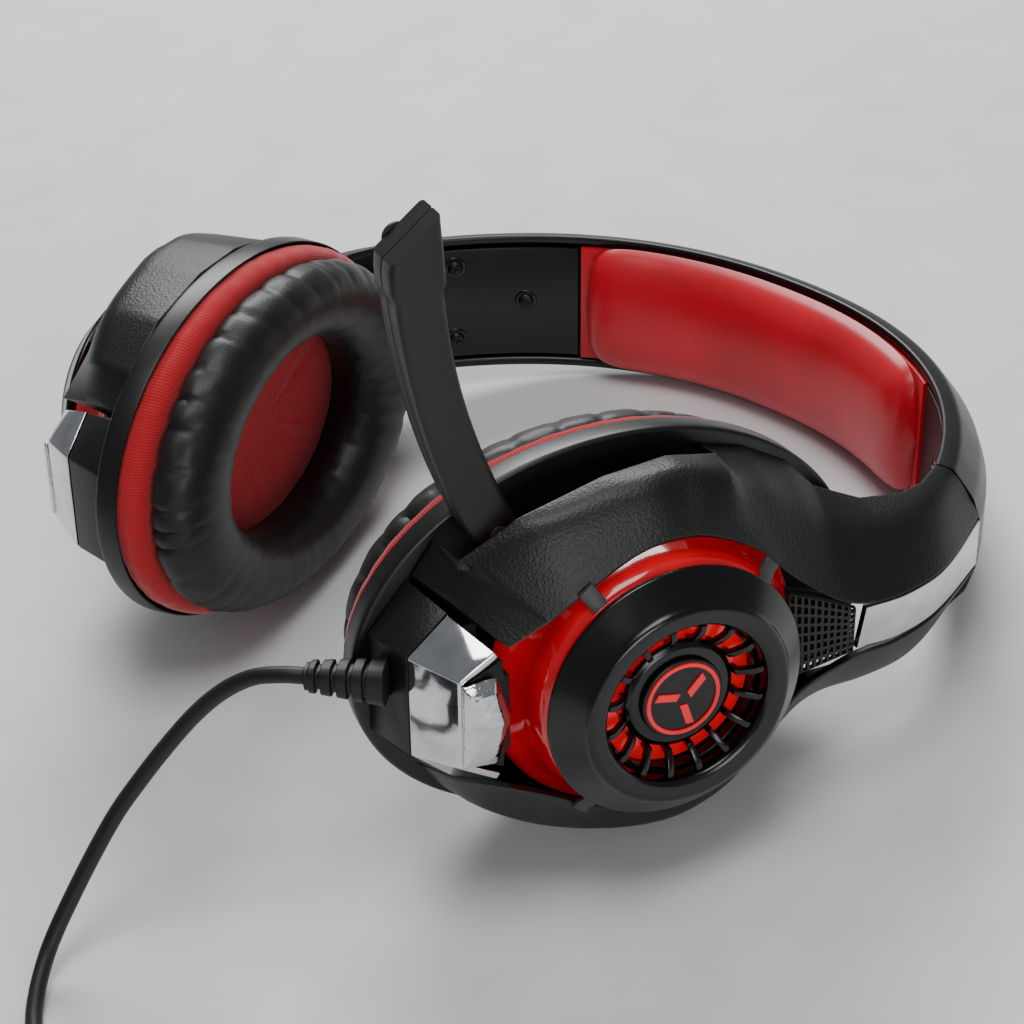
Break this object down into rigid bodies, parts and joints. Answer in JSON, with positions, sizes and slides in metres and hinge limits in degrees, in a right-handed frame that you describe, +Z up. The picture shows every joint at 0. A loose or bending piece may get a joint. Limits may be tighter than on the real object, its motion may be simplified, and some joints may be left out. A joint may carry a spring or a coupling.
{
  "type": "gaming headset",
  "caption": "Over-ear gaming headset with a padded headband on sliding arms, oval ear cups with lit rings, a swivelling microphone boom and a cable with an in-line remote and two plugs.",
  "frame": {"origin": "centre of the headset's own bounding box, without its loose cable, at the level of the surface it lies on", "axes": "+X out of the left ear cup (the one with the microphone), +Y from the chin ends of the cups towards the crown, +Z up; the headset lies on its back, with its face side up and the crown touching the surface"},
  "size_m": [0.2108, 0.4004, 0.1511],
  "materials": {
    "satin_black": "satin",
    "grained_black": "leather grain",
    "gloss_black": "gloss",
    "red_plastic": "translucent, lit from behind",
    "red_cloth": "woven",
    "red_leatherette": "satin",
    "black_leatherette": "satin",
    "chrome_plate": "mirror",
    "spring_steel": "brushed",
    "circuit_board": "satin",
    "driver_metal": "satin",
    "black_rubber": "satin"
  },
  "bodies": {
    "headband": {"band_outer_shell": "satin_black", "band_spring": "spring_steel", "pad_base": "red_leatherette", "head_pad": "red_leatherette", "left_slider_cover": "satin_black", "right_slider_cover": "satin_black", "left_cover_screws": "spring_steel", "right_cover_screws": "spring_steel"},
    "left_earcup": {"left_cup_plate": "satin_black", "left_fabric_ring": "red_cloth", "left_ear_cushion": "black_leatherette", "left_ear_cloth": "red_cloth", "left_driver": "driver_metal", "left_light_ring": "red_plastic", "left_led_board": "circuit_board", "left_dome_cover": "gloss_black", "left_fin_grille": "gloss_black", "left_hub_badge": "gloss_black", "left_chin_block": "grained_black", "left_chrome_bumper": "chrome_plate", "left_bumper_tip": "chrome_plate", "left_front_fairing": "grained_black", "left_rear_fairing": "grained_black", "left_arm_trim": "chrome_plate", "left_mesh_grille": "satin_black", "left_slider_tongue": "spring_steel", "boom_pivot_pin": "spring_steel", "strain_relief": "black_rubber", "cable": "black_rubber", "cable_coil": "black_rubber", "remote_body": "satin_black", "cable_yoke": "black_rubber", "usb_lead": "black_rubber", "audio_lead": "black_rubber", "usb_plug": "black_rubber", "audio_plug": "black_rubber"},
    "right_earcup": {"right_cup_plate": "satin_black", "right_fabric_ring": "red_cloth", "right_ear_cushion": "black_leatherette", "right_ear_cloth": "red_cloth", "right_driver": "driver_metal", "right_light_ring": "red_plastic", "right_led_board": "circuit_board", "right_dome_cover": "gloss_black", "right_fin_grille": "gloss_black", "right_hub_badge": "gloss_black", "right_chin_block": "grained_black", "right_chrome_bumper": "chrome_plate", "right_bumper_tip": "chrome_plate", "right_front_fairing": "grained_black", "right_rear_fairing": "grained_black", "right_arm_trim": "chrome_plate", "right_mesh_grille": "satin_black", "right_slider_tongue": "spring_steel"},
    "mic_boom": {"boom_inner_shell": "satin_black", "boom_outer_shell": "satin_black", "mic_capsule": "grained_black"},
    "volume_wheel": {"volume_wheel": "satin_black"},
    "mute_switch": {"mute_switch": "satin_black"}
  },
  "joints": [
    {"name": "left_slider", "type": "slide", "parent": "headband", "child": "left_earcup", "axis": [0.5732, -0.8073, 0.1402], "range_m": [0, 0.028]},
    {"name": "right_slider", "type": "slide", "parent": "headband", "child": "right_earcup", "axis": [-0.5732, -0.8073, 0.1402], "range_m": [0, 0.028]},
    {"name": "mic_hinge", "type": "hinge", "parent": "left_earcup", "child": "mic_boom", "pos_m": [0.05874, -0.0618, 0.08148], "axis": [0.9444, -0.324, 0.0563], "range_deg": [-90, 30]},
    {"name": "volume_wheel_turn", "type": "hinge", "parent": "left_earcup", "child": "volume_wheel", "pos_m": [0.0472, -0.216, 0.0052], "axis": [0, 0, 1], "range_deg": [0, 270]},
    {"name": "mute_slide", "type": "slide", "parent": "left_earcup", "child": "mute_switch", "axis": [0, 1, 0], "range_m": [0, 0.003]}
  ]
}
